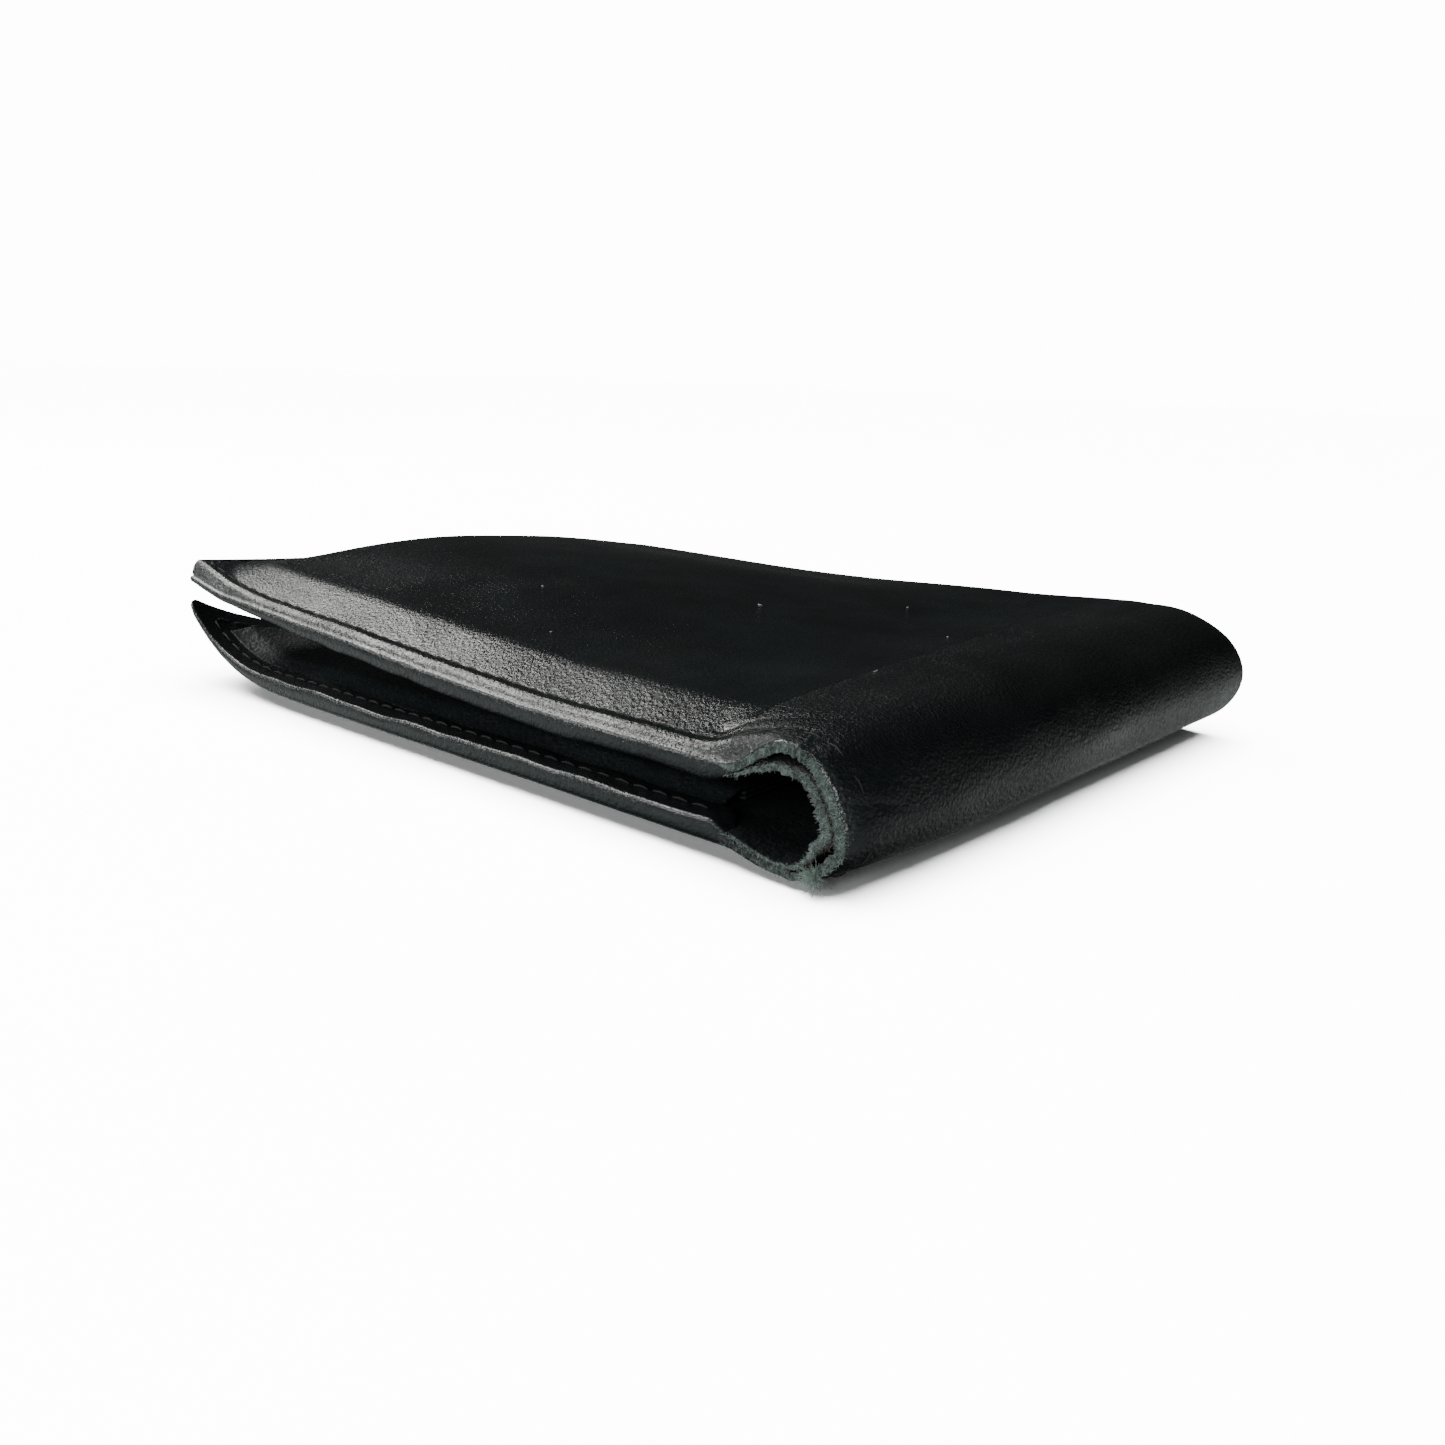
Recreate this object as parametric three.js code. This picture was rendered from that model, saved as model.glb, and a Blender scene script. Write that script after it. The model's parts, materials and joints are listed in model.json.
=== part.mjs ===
// Bifold wallet, closed and lying on its lower half. Millimetres, +Z up.
// +X runs from the open end to the fold, +Y from the stitched edge to the edge where banknotes go in.
// The origin is the centre of the box's bottom face.
//
// Each half is a stack of leather sheets. From the outside in: cover, lining, divider, turned edges
// and three card pockets. The fold is a C-shaped spine in three rigid strips, so that four coupled
// hinges of 45 degrees each stand for the bending leather.

import * as THREE from "three";

// Driving dimensions
const WIDTH = 92; // stitched edge to banknote opening
const HALF_LENGTH = 115; // open end to the centre of the fold
const THICKNESS = 16.4; // over the two covers, without the swelling that the cards cause
const CORNER_RADIUS = 2.5;
const CORNER_FADE = 12; // the stations of a sheet follow its rounded corners this far in

// The fold's outer surface is half an ellipse. It is tight at the stitched edge and loose at the other.
const SPINE_STITCHED = { reach: 6.6, rise: 6.9, centreZ: 7.9 };
const SPINE_LOOSE = { reach: 13.4, rise: 9, centreZ: 9 };
const SPINE_OPENING = 0.42; // below 1, most of the opening is near the stitched end

// Leather and lining thicknesses, and the small air gap between two sheets
const COVER = 1.2;
const LINING = 0.3;
const DIVIDER = 0.7;
const TURN = 0.7;
const POCKET = 0.55;
const AIR = 0.1;
const SPINE_AIR = 0.3;

// The cards press a raised panel into each cover: it starts at a crease and climbs a ramp.
const CREASE_INSET = 2.7;
const RAMP = 6.5;
const PANEL_CORNER = 9;
const BILL_SPACE = 1.8; // between the lining and the divider
const DIVIDER_DEPTH = COVER + AIR + LINING + BILL_SPACE;
const PANEL_RISE = { lower: 2.2, upper: 3.8 }; // from the edge to the raised panel's face

// The cards push up the middle of the upper cover.
const DOME = 3.3;
const DOME_MIDDLE = { s: -85, y: -4.5 };
const DOME_HALF = { s: 63, near: 37, far: 50 };

// The upper half isn't flat: it sinks towards the stitched edge and gapes at the open end.
const NEAR_SAG = 1.2;
const GAPE_START = 38; // distance from the fold
const GAPE_SLOPE = 0.052;
const CORNER_FLARE = 1.1;
const FLARE_LENGTH = 9;
const CORNER_CURL = 6.2; // the lower half's near corner curls up
const CURL_LENGTH = 27;

// The sheets of both halves climb into the fold over this stretch.
const CLIMB_START = 10; // distance from the fold
const CLIMB_LENGTH = 9;

// Widths of the turned edges and of the stitching
const TURN_WIDTH = 4.3;
const TURN_START = 8; // the turned stitched edge starts this far from the open end
const OPEN_TURN_END = 3; // the turned open end stops this far from the banknote opening
const HEM_WIDTH = 5;
const HEM_START = 14; // from the open end
const HEM_INSET = 0.3; // from the banknote opening
const HEM_CLEARANCE = 0.6; // between the hem and the lining
const LINING_INSET = 12.5;
const SHEET_STOP = 13; // the lining and the hem stop this far from the fold
const SEAM_INSET = 2.2;
const SEAM_BEND = 1.8; // the straight runs of the seam stop this far from its corner
const SEAM_CORNER = 0.6;
const SEAM_STOP = 5; // from the banknote opening
const DIVIDER_INSET = 0.8; // from the cover's edges
const DIVIDER_DROP = 2; // below the banknote opening
const THREAD = 0.45;

// Card pockets, from the deepest to the front one
const POCKET_TOPS = [30, 18, 6];
const POCKET_END_GAP = 5.2; // between a pocket and the open end
const POCKET_TURN_GAP = 0.4; // between a pocket and the turned stitched edge

const STRIPS = 3;
const HINGE_STEP = Math.PI / (STRIPS + 1);
const HINGE_REACH = 9.4; // the hinge lines lie on an ellipse inside the spine's leather
const HINGE_RISE = 7.5;
const HINGE_Z = 8.3;
const STRIP_STEPS = 3;

const NEAR = -WIDTH / 2;
const FAR = WIDTH / 2;
const FOLD_X = (HALF_LENGTH - SPINE_LOOSE.reach) / 2; // puts the box's middle at x = 0
const MID_Z = THICKNESS / 2;

const COLOURS = {
  leather: 0x14191a,
  edge: 0x1d2625,
  inside: 0x101314,
  lining: 0x24262a,
  thread: 0x0c0e0f,
};

const clamp01 = (t) => Math.min(1, Math.max(0, t));
const lerp = (a, b, t) => a + (b - a) * t;
const smooth = (t) => clamp01(t) ** 2 * (3 - 2 * clamp01(t));

// 0 at the banknote opening, 1 at the stitched edge
const nearness = (y) => clamp01((FAR - y) / WIDTH);

function spineAt(y) {
  const t = (1 - nearness(y)) ** SPINE_OPENING;
  return {
    reach: lerp(SPINE_STITCHED.reach, SPINE_LOOSE.reach, t),
    rise: lerp(SPINE_STITCHED.rise, SPINE_LOOSE.rise, t),
    centreZ: lerp(SPINE_STITCHED.centreZ, SPINE_LOOSE.centreZ, t),
  };
}

// 1 on the thin border outside the crease, 0 on the raised panel. s is x measured from the fold.
function borderAmount(s, y) {
  const fromNear = y - (NEAR + CREASE_INSET);
  const fromEnd = s + HALF_LENGTH - CREASE_INSET;
  const a = Math.max(0, PANEL_CORNER - fromNear);
  const b = Math.max(0, PANEL_CORNER - fromEnd);
  const inside = PANEL_CORNER - Math.hypot(a, b);
  return 1 - smooth(inside / RAMP);
}

// How far the upper cover and its lining stand above the even panel
function domeAt(s, y) {
  const along = clamp01(1 - ((s - DOME_MIDDLE.s) / DOME_HALF.s) ** 2);
  const towardsFar = clamp01(1 - ((y - DOME_MIDDLE.y) / DOME_HALF.far) ** 2);
  const towardsNear = clamp01(1 - ((y - DOME_MIDDLE.y) / DOME_HALF.near) ** 2) ** 2;
  return DOME * along * (y > DOME_MIDDLE.y ? towardsFar : towardsNear);
}

// How far the sheets of a half are shifted up from their flat place
function shiftOf(half, s, y) {
  const n = nearness(y);
  const endwards = -s;
  if (half === "lower") {
    const curl = clamp01((endwards - (HALF_LENGTH - CURL_LENGTH)) / CURL_LENGTH);
    return CORNER_CURL * n ** 4 * curl ** 3;
  }
  const gape = GAPE_SLOPE * Math.max(0, endwards - GAPE_START);
  const flare = clamp01((endwards - (HALF_LENGTH - FLARE_LENGTH)) / FLARE_LENGTH);
  return n * (gape - NEAR_SAG) + CORNER_FLARE * n ** 3 * flare;
}

// The angle left free beside a hinge line by a layer of the spine. A layer that lies outside the
// line closes up as the wallet opens flat, so it needs more room there.
function hingeMargin(y, hinge, depth) {
  const spine = spineAt(y);
  const x = (spine.reach - depth) * Math.cos(hinge);
  const z = spine.centreZ + (spine.rise - depth) * Math.sin(hinge) - HINGE_Z;
  const hingeOut = Math.hypot(HINGE_REACH * Math.cos(hinge), HINGE_RISE * Math.sin(hinge));
  const outside = Math.max(0, Math.hypot(x, z) - hingeOut);
  return (SPINE_AIR + outside * 2 * Math.tan(HINGE_STEP / 2)) / 2 / spine.rise;
}

// A point of a sheet. Depth is measured inwards from the outer face: on the raised panel, on the
// border and in the spine. s from 0 to 1 turns round the spine, up to the first hinge line.
function sheetPoint(half, s, y, depth) {
  const side = half === "lower" ? -1 : 1;
  const spine = spineAt(y);
  const rise = spine.rise - depth.spine;
  if (s > 0) {
    const hinge = (side * (Math.PI - HINGE_STEP)) / 2;
    const turn = HINGE_STEP / 2 - hingeMargin(y, hinge, depth.outermost ?? depth.spine);
    const angle = side * (Math.PI / 2 - s * turn);
    const reach = spine.reach - depth.spine;
    return new THREE.Vector3(reach * Math.cos(angle), y, spine.centreZ + rise * Math.sin(angle));
  }
  const border = PANEL_RISE[half] + depth.border;
  const raised = half === "upper" && depth.domed ? domeAt(s, y) : 0;
  const flatDepth = lerp(depth.panel - raised, border, borderAmount(s, y));
  const flatZ = MID_Z + side * (MID_Z - flatDepth) + shiftOf(half, s, y);
  const intoSpine = smooth((s + CLIMB_START) / CLIMB_LENGTH);
  return new THREE.Vector3(s, y, lerp(flatZ, spine.centreZ + side * rise, intoSpine));
}

// A closed solid between two grids of points: outer(i, j) and inner(i, j), i < columns, j < rows.
function gridSolid(columns, rows, outer, inner) {
  const positions = [];
  const index = [];
  for (const face of [outer, inner])
    for (let i = 0; i < columns; i++)
      for (let j = 0; j < rows; j++) positions.push(...face(i, j).toArray());
  const at = (layer, i, j) => layer * columns * rows + i * rows + j;
  const quad = (a, b, c, d) => index.push(a, b, c, a, c, d);
  for (let i = 0; i + 1 < columns; i++)
    for (let j = 0; j + 1 < rows; j++) {
      quad(at(0, i, j), at(0, i, j + 1), at(0, i + 1, j + 1), at(0, i + 1, j));
      quad(at(1, i, j), at(1, i + 1, j), at(1, i + 1, j + 1), at(1, i, j + 1));
    }
  for (let i = 0; i + 1 < columns; i++) {
    quad(at(0, i, 0), at(0, i + 1, 0), at(1, i + 1, 0), at(1, i, 0));
    quad(at(0, i + 1, rows - 1), at(0, i, rows - 1), at(1, i, rows - 1), at(1, i + 1, rows - 1));
  }
  for (let j = 0; j + 1 < rows; j++) {
    quad(at(0, 0, j + 1), at(0, 0, j), at(1, 0, j), at(1, 0, j + 1));
    quad(at(0, columns - 1, j), at(0, columns - 1, j + 1), at(1, columns - 1, j + 1), at(1, columns - 1, j));
  }
  const geometry = new THREE.BufferGeometry();
  geometry.setAttribute("position", new THREE.Float32BufferAttribute(positions, 3));
  geometry.setIndex(index);
  if (signedVolume(geometry) < 0) {
    for (let k = 0; k < index.length; k += 3) [index[k + 1], index[k + 2]] = [index[k + 2], index[k + 1]];
    geometry.setIndex(index);
  }
  geometry.computeVertexNormals();
  return geometry;
}

function signedVolume(geometry) {
  const place = geometry.getAttribute("position");
  const corner = (k) => new THREE.Vector3().fromBufferAttribute(place, geometry.index.getX(k));
  let volume = 0;
  for (let k = 0; k < geometry.index.count; k += 3)
    volume += corner(k).dot(corner(k + 1).cross(corner(k + 2))) / 6;
  return volume;
}

// Even steps from first to last
function stations(first, last, count) {
  return Array.from({ length: count + 1 }, (_, k) => lerp(first, last, k / count));
}

// How far a sheet's open end steps back at a rounded corner
function cornerStep(y, radius) {
  const fromSide = Math.min(y - NEAR, FAR - y);
  if (fromSide >= radius) return 0;
  return radius - Math.sqrt(radius ** 2 - (radius - fromSide) ** 2);
}

const wallet = new THREE.Group();

function add(name, colour, geometry) {
  const material = new THREE.MeshStandardMaterial({ color: COLOURS[colour], roughness: 0.55, metalness: 0 });
  const mesh = new THREE.Mesh(geometry, material);
  mesh.name = name;
  wallet.add(mesh);
}

// A sheet over the stations s and y, from depth `from` to `from + thick`
function addSheet(name, colour, half, s, y, from, thick, cornerRadius = 0) {
  const to = {
    panel: from.panel + thick,
    border: from.border + thick,
    spine: from.spine + thick,
    outermost: from.spine,
    domed: from.domed,
  };
  const place = (i, j) => {
    const step = cornerRadius ? cornerStep(y[j], cornerRadius) : 0;
    const fromEnd = clamp01((s[i] - s[0]) / CORNER_FADE);
    return s[i] > 0 ? s[i] : s[i] + step * (1 - fromEnd);
  };
  const outer = (i, j) => sheetPoint(half, place(i, j), y[j], from);
  const inner = (i, j) => sheetPoint(half, place(i, j), y[j], to);
  add(name, colour, gridSolid(s.length, y.length, outer, inner));
}

// Depths below the outer face for a sheet at the given place in the stack
const depthBelowCover = (extra) => ({
  panel: DIVIDER_DEPTH + extra,
  border: COVER + AIR + extra,
  spine: COVER + SPINE_AIR + extra,
});

// Shared stations, so that stacked sheets bend at the same places and keep their air gaps
const END = -HALF_LENGTH;
const END_STATIONS = [0, 1.3, CREASE_INSET, 4.4, 6.2, 8.5, 12].map((d) => END + d);
const PANEL_STATIONS = stations(END + 20, -12, 6);
const FOLD_STATIONS = [-8, -5.5, -3.5, -1.5, 0, 1];
const NEAR_STATIONS = [0, DIVIDER_INSET, 1.5, CREASE_INSET, 4.2, 5.8, 7.6, 10].map((d) => NEAR + d);
const MIDDLE_START = NEAR + 16;
const LINING_TOP = FAR - HEM_WIDTH - HEM_CLEARANCE;
const MIDDLE_STATIONS = stations(MIDDLE_START, LINING_TOP, 6);
const COVER_ROWS = [...NEAR_STATIONS, ...MIDDLE_STATIONS, FAR - CORNER_RADIUS, FAR];
const DIVIDER_ROWS = [...NEAR_STATIONS.slice(1), ...MIDDLE_STATIONS, FAR - DIVIDER_DROP];
const between = (list, low, high) => list.filter((v) => v > low && v < high);

function addCover(half) {
  const y = COVER_ROWS;
  const s = [...END_STATIONS, ...PANEL_STATIONS, ...FOLD_STATIONS];
  const depth = { panel: 0, border: 0, spine: 0, domed: true };
  addSheet(half + "_cover", "leather", half, s, y, depth, COVER, CORNER_RADIUS);
}

function addLining(half) {
  const s = [END + LINING_INSET, ...between(PANEL_STATIONS, END, -SHEET_STOP), -SHEET_STOP];
  const y = [...between(COVER_ROWS, NEAR + LINING_INSET, LINING_TOP), LINING_TOP];
  const depth = { panel: COVER + AIR, border: COVER + AIR, spine: COVER + AIR, domed: true };
  addSheet(half + "_cover_lining", "lining", half, s, y, depth, LINING);
}

// The cover's edge turned in along the banknote opening
function addBillHem(half) {
  const s = [END + HEM_START, ...between(PANEL_STATIONS, END, -SHEET_STOP), -SHEET_STOP];
  const low = FAR - HEM_WIDTH;
  const high = FAR - HEM_INSET;
  const y = [low, ...between(COVER_ROWS, low, high), high];
  const depth = { panel: COVER + AIR, border: COVER + AIR, spine: COVER + AIR, domed: true };
  addSheet(half + "_bill_hem", "edge", half, s, y, depth, TURN);
}

function addDivider(half) {
  const s = [END + DIVIDER_INSET, ...END_STATIONS.slice(1), ...PANEL_STATIONS, ...FOLD_STATIONS];
  addSheet(half + "_divider", "inside", half, s, DIVIDER_ROWS, depthBelowCover(0), DIVIDER, CORNER_RADIUS);
}

// The cover's edges turned in over the divider, along the stitched edge and along the open end
function addEdgeTurns(half) {
  const depth = depthBelowCover(DIVIDER + AIR);
  const nearS = [...between(END_STATIONS, END + TURN_START, 0), ...PANEL_STATIONS];
  const nearY = [...NEAR_STATIONS.slice(0, 4), NEAR + TURN_WIDTH];
  addSheet(half + "_near_edge_turn", "edge", half, nearS, nearY, depth, TURN);
  const endS = END_STATIONS.slice(0, 4);
  const endY = [...NEAR_STATIONS, ...stations(MIDDLE_START, FAR - OPEN_TURN_END, 5)];
  addSheet(half + "_open_edge_turn", "edge", half, endS, endY, depth, TURN, CORNER_RADIUS);
}

function addCardPockets(half) {
  const near = NEAR + TURN_WIDTH + POCKET_TURN_GAP;
  const end = END + POCKET_END_GAP;
  const s = [end, ...between(END_STATIONS, end, 0), ...PANEL_STATIONS];
  POCKET_TOPS.forEach((top, k) => {
    const y = [near, ...between(NEAR_STATIONS, near, 0), ...stations(MIDDLE_START, top, 3)];
    const depth = depthBelowCover(DIVIDER + AIR + k * (POCKET + AIR));
    addSheet(half + "_card_pocket_" + (k + 1), "inside", half, s, y, depth, POCKET);
  });
}

// The seam's thread lies on the cover's outer face, just outside the crease.
function addSeamThread(half) {
  const lineS = END + SEAM_INSET;
  const lineY = NEAR + SEAM_INSET;
  const along = between([...END_STATIONS, ...PANEL_STATIONS], lineS + SEAM_BEND, 0).reverse();
  const up = between(COVER_ROWS, lineY + SEAM_BEND, FAR - SEAM_STOP);
  const route = along.map((s) => [s, lineY, 0, 1]);
  route.push([lineS + SEAM_CORNER, lineY + SEAM_CORNER, Math.SQRT1_2, Math.SQRT1_2]);
  up.forEach((y) => route.push([lineS, y, 1, 0]));
  const outside = { panel: -AIR - THREAD, border: -AIR - THREAD, spine: 0 };
  const inside = { panel: -AIR, border: -AIR, spine: 0 };
  const corner = (depth) => (i, j) => {
    const [s, y, acrossS, acrossY] = route[i];
    const off = (j - 0.5) * THREAD;
    return sheetPoint(half, s + acrossS * off, y + acrossY * off, depth);
  };
  add(half + "_seam_thread", "thread", gridSolid(route.length, 2, corner(outside), corner(inside)));
}

// A strip of the spine between two hinge lines: the covering leather and the divider inside it
function addSpineStrip(k) {
  const from = -Math.PI / 2 + HINGE_STEP * (k - 0.5);
  const to = from + HINGE_STEP;
  const inner = COVER + SPINE_AIR;
  const layers = [
    { name: "spine_leather_", colour: "leather", depth: 0, thick: COVER, rows: COVER_ROWS },
    { name: "spine_divider_", colour: "inside", depth: inner, thick: DIVIDER, rows: DIVIDER_ROWS },
  ];
  for (const layer of layers) {
    const y = layer.rows;
    const surface = (depth) => (i, j) => {
      const spine = spineAt(y[j]);
      const start = from + hingeMargin(y[j], from, layer.depth);
      const finish = to - hingeMargin(y[j], to, layer.depth);
      const angle = lerp(start, finish, i / STRIP_STEPS);
      const reach = spine.reach - depth;
      const rise = spine.rise - depth;
      return new THREE.Vector3(reach * Math.cos(angle), y[j], spine.centreZ + rise * Math.sin(angle));
    };
    const outer = surface(layer.depth);
    const under = surface(layer.depth + layer.thick);
    add(layer.name + k, layer.colour, gridSolid(STRIP_STEPS + 1, y.length, outer, under));
  }
}

for (const half of ["lower", "upper"]) {
  addCover(half);
  addLining(half);
  addBillHem(half);
  addDivider(half);
  addEdgeTurns(half);
  addCardPockets(half);
  addSeamThread(half);
}
for (let k = 1; k <= STRIPS; k++) addSpineStrip(k);
wallet.position.x = FOLD_X;

export default wallet;
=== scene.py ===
"""A worn black leather bifold wallet, closed and lying on its lower half, built around the CAD frame.

Lengths are in millimetres until a mesh is made. A point of a sheet is given by (side, u, y, depth).
side is -1 in the lower half and 1 in the upper one. u up to 0 is x measured from the middle of the
fold, and u from 0 to 1 turns round the spine. depth is measured inwards from the outer face.
"""

import json
import math

import bpy
import numpy as np
from mathutils import Matrix, Vector


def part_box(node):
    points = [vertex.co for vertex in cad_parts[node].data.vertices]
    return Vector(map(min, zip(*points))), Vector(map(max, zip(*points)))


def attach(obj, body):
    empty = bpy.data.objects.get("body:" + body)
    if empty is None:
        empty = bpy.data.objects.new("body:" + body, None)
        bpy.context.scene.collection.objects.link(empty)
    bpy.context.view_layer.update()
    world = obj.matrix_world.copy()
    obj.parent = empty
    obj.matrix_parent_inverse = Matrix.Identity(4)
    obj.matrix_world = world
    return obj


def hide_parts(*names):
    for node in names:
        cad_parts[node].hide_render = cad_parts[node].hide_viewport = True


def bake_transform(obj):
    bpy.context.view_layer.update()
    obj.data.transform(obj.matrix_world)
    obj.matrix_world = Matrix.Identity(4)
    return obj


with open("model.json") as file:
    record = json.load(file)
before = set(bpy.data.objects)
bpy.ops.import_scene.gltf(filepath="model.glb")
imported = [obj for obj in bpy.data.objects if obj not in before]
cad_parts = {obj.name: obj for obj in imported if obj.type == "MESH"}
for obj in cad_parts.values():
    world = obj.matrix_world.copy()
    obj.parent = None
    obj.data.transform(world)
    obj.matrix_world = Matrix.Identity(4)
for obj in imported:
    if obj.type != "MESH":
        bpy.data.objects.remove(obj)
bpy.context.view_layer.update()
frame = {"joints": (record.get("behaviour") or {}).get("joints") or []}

MM = 0.001
LOWER, UPPER = -1, 1
HALF_NAME = {LOWER: "lower", UPPER: "upper"}


def node_box(node):
    """Lowest and highest corner of a CAD node, in millimetres."""
    low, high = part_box(node)
    return np.array(low) / MM, np.array(high) / MM


# --- Sizes that come from the frame ---

cover_low, cover_high = node_box("lower_cover")
hinge_x = sorted(joint["pos_m"][0] / MM for joint in frame["joints"])
STEEP, SHALLOW = math.radians(67.5), math.radians(22.5)  # where the four hinges stand on the fold
HINGE_REACH = (hinge_x[-1] - hinge_x[0]) / (math.cos(SHALLOW) - math.cos(STEEP))
FOLD_X = hinge_x[0] - HINGE_REACH * math.cos(STEEP)
NEAR, FAR = cover_low[1], cover_high[1]
WIDTH = FAR - NEAR
END = cover_low[0] - FOLD_X

# --- Shape of the halves and of the fold ---

MID_Z = 8.2
SPINE_STITCHED = (6.6, 6.9, 7.9)  # reach, rise and height of the centre, at the stitched edge
SPINE_LOOSE = (13.4, 9.0, 9.0)
SPINE_HALF = 14.0  # leather from the middle of the spine to a half
SPINE_OPENING = 0.42  # below 1, most of the fold's opening is near its stitched end
LEAN = 0.28  # the stitched end of the fold bulges more below its middle than above
INTO_SPINE = 8.5  # where the border starts to climb into the fold
PANEL_CLIMB = 24.0  # where the loose end of the upper panel does

PANEL_RISE = {LOWER: 2.2, UPPER: 3.8}
BAND_RISE = {LOWER: 0.7, UPPER: 1.0}
CREASE_INSET = 2.7
RIDGE = 1.3  # width of the band's rounded outer ridge
CREASE_DEPTH = 0.40
CREASE_WIDTH = 0.21
RAMP = 6.2
SHOULDER = 0.16  # how softly the ramp ends on the panel
PANEL_CORNER = 9.0

CORNER_BAND = 1.4  # how much more the upper band rises at the open end
CORNER_REACH = 20.0
FOLD_BAND = 1.3  # how much more it rises beside the fold
DOME = 3.2  # the cards push up the middle of the upper panel
DOME_MIDDLE = (-85.6, -4.7)
DOME_ALONG = 63.5
DOME_FAR = 50.7
DOME_NEAR = 37.0
FAR_LIFT = 0.85  # the upper panel climbs to the loose end of the fold
FAR_DROOP = 1.35

NEAR_SAG = 1.4
GAPE_START = 38.0
GAPE_SLOPE = 0.0555
CORNER_FLARE = 1.3
FLARE_REACH = 11.0
CORNER_CURL = 9.0
CURL_START = 85.0
CURL_LENGTH = 29.0
CURL_FADE = 0.55  # below 1, the curl reaches further along the open end than along the edge

CORNER_RADIUS = 1.8
EDGE_ROUND = 0.5
EDGE = 2.4  # height of a wrapped edge
CORNER_EDGE = {LOWER: 1.5, UPPER: 1.05}  # the same at the stitched corner of the open end
EDGE_THINS = {LOWER: 32.0, UPPER: 46.0}  # from this distance to the corner
HEM = 1.9  # height of the hem along the banknote opening
TURN_WIDTH = 4.3
HEM_WIDTH = 5.0
RIM_CAVITY, HEM_CAVITY, TURN_CAVITY = 0.45, 1.0, 1.6  # from the edge to the hollow inside its turn
WRAP_ENDS = 10.5  # from this distance the wrapped edge unrolls into the cut leather of the fold
WRAP_FADE = 4.5
COVER = 1.1
SPINE_COVER = 1.3
SLIT = 0.3
SPINE_DIVIDER = 1.3
DIVIDER_INSET = 1.2

# The cut end of the fold, from the lower half's edge round to the upper one's. Beyond the quarter
# turns the degrees run on along the flat leather.
DEGREES_PER_MM = 7.5
RIM_FADE = 14.0  # how far into the fold the rim's thicknesses reach
RIM_DEGREES = (-150, -100, -75, -45, -10, 40, 90, 150)
COVER_AT_RIM = (0.95, 0.75, 0.80, 1.25, 1.45, 1.30, 1.20, 1.05)
SLIT_AT_RIM = (0.10, 0.10, 0.45, 1.20, 0.30, 0.25, 1.15, 0.45)
DIVIDER_AT_RIM = (0.60, 0.45, 0.50, 1.10, 1.60, 1.35, 1.10, 0.90)
BARE_FROM = {LOWER: 7.0, UPPER: 10.5}  # where the bare fibre starts, measured from the fold

LINING = 0.25
POCKET = 0.5
POCKET_TOPS = (30.0, 18.0, 6.0)
POCKET_FOLD_END = -12.5

# Wrinkles: start and end (distance along the cover from the fold, distance from the stitched edge),
# depth and width
WRINKLES = (
    ((26.0, 4.0), (12.0, 8.5), 0.20, 0.50),
    ((24.0, 3.4), (14.0, 3.6), 0.14, 0.40),
    ((13.0, 1.0), (8.0, 6.0), 0.12, 0.45),
    ((3.0, 0.5), (1.0, 7.0), 0.09, 0.50),
    ((-6.0, 0.5), (-9.0, 6.0), 0.10, 0.50),
)


def clamp01(t):
    return np.clip(t, 0.0, 1.0)


def smooth(t):
    t = clamp01(t)
    return t * t * (3 - 2 * t)


def lerp(a, b, t):
    return a + (b - a) * t


def bump_line(distance, width):
    """A soft ridge of height 1 along distance 0."""
    return np.exp(-((distance / width) ** 2))


def pick(side, values):
    return np.where(side > 0, values[UPPER], values[LOWER])


def waves(a, b, shortest, longest, seed, count=9):
    """A smooth random field over the coordinates a and b, about -1 to 1."""
    rng = np.random.default_rng(seed)
    total = np.zeros(np.broadcast(a, b).shape)
    for _ in range(count):
        length = rng.uniform(shortest, longest)
        heading = rng.uniform(0, 2 * math.pi)
        phase = rng.uniform(0, 2 * math.pi)
        along = a * math.cos(heading) + b * math.sin(heading)
        total = total + np.sin(2 * math.pi * along / length + phase)
    return total / math.sqrt(count) / 1.4


def nearness(y):
    """0 at the banknote opening, 1 at the stitched edge."""
    return clamp01((FAR - y) / WIDTH)


def spine_at(y):
    t = (1 - nearness(y)) ** SPINE_OPENING
    return [lerp(stitched, loose, t) for stitched, loose in zip(SPINE_STITCHED, SPINE_LOOSE)]


def strip_place(side, u):
    """Distance along the whole cover, measured from the middle of the spine."""
    return side * np.where(u > 0, (1 - u) * SPINE_HALF, SPINE_HALF - u)


def into_spine(u):
    return smooth((u + INTO_SPINE) / (INTO_SPINE - 1.0))


def wrapped_amount(u):
    """1 along the wrapped edges, 0 round the fold where the leather's edge is cut."""
    return smooth((-u - WRAP_ENDS + WRAP_FADE) / WRAP_FADE)


def climb(side, s, y):
    """0 on a half, 1 in the fold. The upper panel starts to climb early away from the stitched edge."""
    start = np.where(side > 0, lerp(PANEL_CLIMB, INTO_SPINE, nearness(y) ** 6), INTO_SPINE)
    return smooth((s + start) / (start - 1.0))


def at_rim(side, u, y, rim_values, inside):
    """Values listed for RIM_DEGREES at the stitched end of the fold, fading to `inside`."""
    degrees = side * (90 * (1 - clamp01(u)) - DEGREES_PER_MM * np.clip(u, -9, 0))
    return lerp(inside, np.interp(degrees, RIM_DEGREES, rim_values), smooth(1 - (y - NEAR) / RIM_FADE))


def turned_up(side, s, y):
    """The upper half's stitched corner, cover and inner leather alike, turns up behind its edge."""
    behind_edge = 1 - (1 - clamp01((y - NEAR - EDGE_ROUND) / 2.6)) ** 2
    share = smooth(1 - (y - NEAR - 6) / 34)
    return CORNER_BAND * behind_edge * share * smooth((END + CORNER_REACH - s) / CORNER_REACH)


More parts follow.
